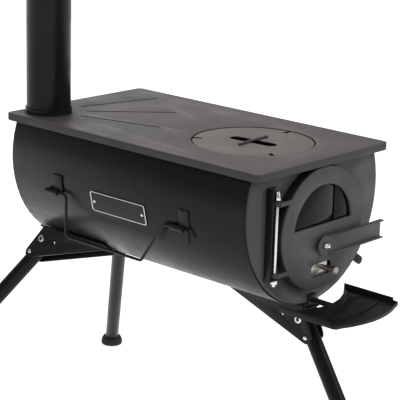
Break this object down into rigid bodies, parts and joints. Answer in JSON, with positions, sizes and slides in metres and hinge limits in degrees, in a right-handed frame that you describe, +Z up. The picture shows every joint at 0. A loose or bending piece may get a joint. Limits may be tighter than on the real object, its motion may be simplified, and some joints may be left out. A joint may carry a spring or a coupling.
{
  "type": "tent wood stove",
  "caption": "Oval sheet-steel tent stove with flat hotplate, lift-off lid, round glazed door with latch and air slider, flue pipe, ash shelf, bail handles and three splayed folding legs.",
  "frame": {"origin": "on the floor, midway between the front foot and the rear feet", "axes": "+Z up, the door faces -Y, the flue stands towards +Y and -X, +X is right seen from the door"},
  "size_m": [0.5564, 0.8882, 0.875],
  "materials": {
    "black_paint": "satin heat-proof paint",
    "hotplate_paint": "satin heat-proof paint, worn grey on top",
    "lid_bar_steel": "satin",
    "inner_steel": "matt black",
    "window_glass": "clear, smoked by the dark behind it",
    "stainless": "bright brushed stainless",
    "foot_rubber": "matt moulded rubber"
  },
  "bodies": {
    "stove": {"firebox_shell": "black_paint", "front_plate": "black_paint", "rear_plate": "black_paint", "hotplate": "hotplate_paint", "lid_ring": "inner_steel", "flue_collar": "black_paint", "door_collar": "inner_steel", "hinge_bracket": "black_paint", "hinge_rod": "stainless", "hinge_acorn_nut": "stainless", "hinge_nut": "stainless", "name_plate": "stainless", "name_plate_rivet_front": "stainless", "name_plate_rivet_rear": "stainless", "handle_clip_rear_left": "black_paint", "handle_clip_front_left": "black_paint", "handle_clip_rear_right": "black_paint", "handle_clip_front_right": "black_paint", "leg_bracket_rear_left": "black_paint", "lock_ring_rear_left": "stainless", "leg_pivot_rear_left": "stainless", "leg_bracket_rear_right": "black_paint", "lock_ring_rear_right": "stainless", "leg_pivot_rear_right": "stainless", "leg_bracket_front": "black_paint", "lock_ring_front": "stainless", "leg_pivot_front": "stainless"},
    "door": {"door_panel": "black_paint", "window_glass_left": "window_glass", "window_glass_right": "window_glass", "glass_retainer": "inner_steel", "air_guide_upper": "inner_steel", "air_guide_lower": "inner_steel"},
    "latch": {"latch_handle": "black_paint", "latch_spindle": "stainless", "latch_cam": "inner_steel", "latch_nut": "stainless"},
    "air_control": {"air_slider": "stainless", "air_knob": "stainless"},
    "lid": {"lid": "hotplate_paint", "lid_cup": "inner_steel", "lid_bar": "lid_bar_steel"},
    "flue_pipe": {"flue_pipe": "black_paint"},
    "ash_shelf": {"ash_shelf": "black_paint"},
    "bail_left": {"bail_handle_left": "black_paint"},
    "bail_right": {"bail_handle_right": "black_paint"},
    "leg_rear_left": {"leg_rear_left": "black_paint", "foot_rear_left": "foot_rubber"},
    "leg_rear_right": {"leg_rear_right": "black_paint", "foot_rear_right": "foot_rubber"},
    "leg_front": {"leg_front": "black_paint", "foot_front": "foot_rubber"}
  },
  "joints": [
    {"name": "door_hinge", "type": "hinge", "parent": "stove", "child": "door", "pos_m": [-0.098, -0.26634, 0.44], "axis": [0, 0, -1], "range_deg": [0, 115]},
    {"name": "latch_turn", "type": "hinge", "parent": "door", "child": "latch", "pos_m": [0, -0.27364, 0.415], "axis": [0, -1, 0], "range_deg": [0, 90]},
    {"name": "air_slide", "type": "slide", "parent": "door", "child": "air_control", "axis": [-1, 0, 0], "range_m": [0, 0.022]},
    {"name": "lid_lift", "type": "slide", "parent": "stove", "child": "lid", "axis": [0, 0, 1], "range_m": [0, 0.12]},
    {"name": "flue_lift", "type": "slide", "parent": "stove", "child": "flue_pipe", "axis": [0, 0, 1], "range_m": [0, 0.06]},
    {"name": "shelf_slide", "type": "slide", "parent": "stove", "child": "ash_shelf", "axis": [0, -1, 0], "range_m": [0, 0.04]},
    {"name": "bail_swing_left", "type": "hinge", "parent": "stove", "child": "bail_left", "pos_m": [-0.15047, 0.02436, 0.43762], "axis": [0, 1, 0], "range_deg": [-20, 160]},
    {"name": "bail_swing_right", "type": "hinge", "parent": "stove", "child": "bail_right", "pos_m": [0.15047, 0.02436, 0.43762], "axis": [0, -1, 0], "range_deg": [-20, 160]},
    {"name": "leg_fold_rear_left", "type": "hinge", "parent": "stove", "child": "leg_rear_left", "pos_m": [-0.09728, 0.23986, 0.3015], "axis": [-0.8746, 0, 0.4848], "range_deg": [0, 119]},
    {"name": "leg_fold_rear_right", "type": "hinge", "parent": "stove", "child": "leg_rear_right", "pos_m": [0.09728, 0.23986, 0.3015], "axis": [-0.8746, 0, -0.4848], "range_deg": [0, 119]},
    {"name": "leg_fold_front", "type": "hinge", "parent": "stove", "child": "leg_front", "pos_m": [0, -0.26314, 0.272], "axis": [1, 0, 0], "range_deg": [0, 121.5]}
  ]
}
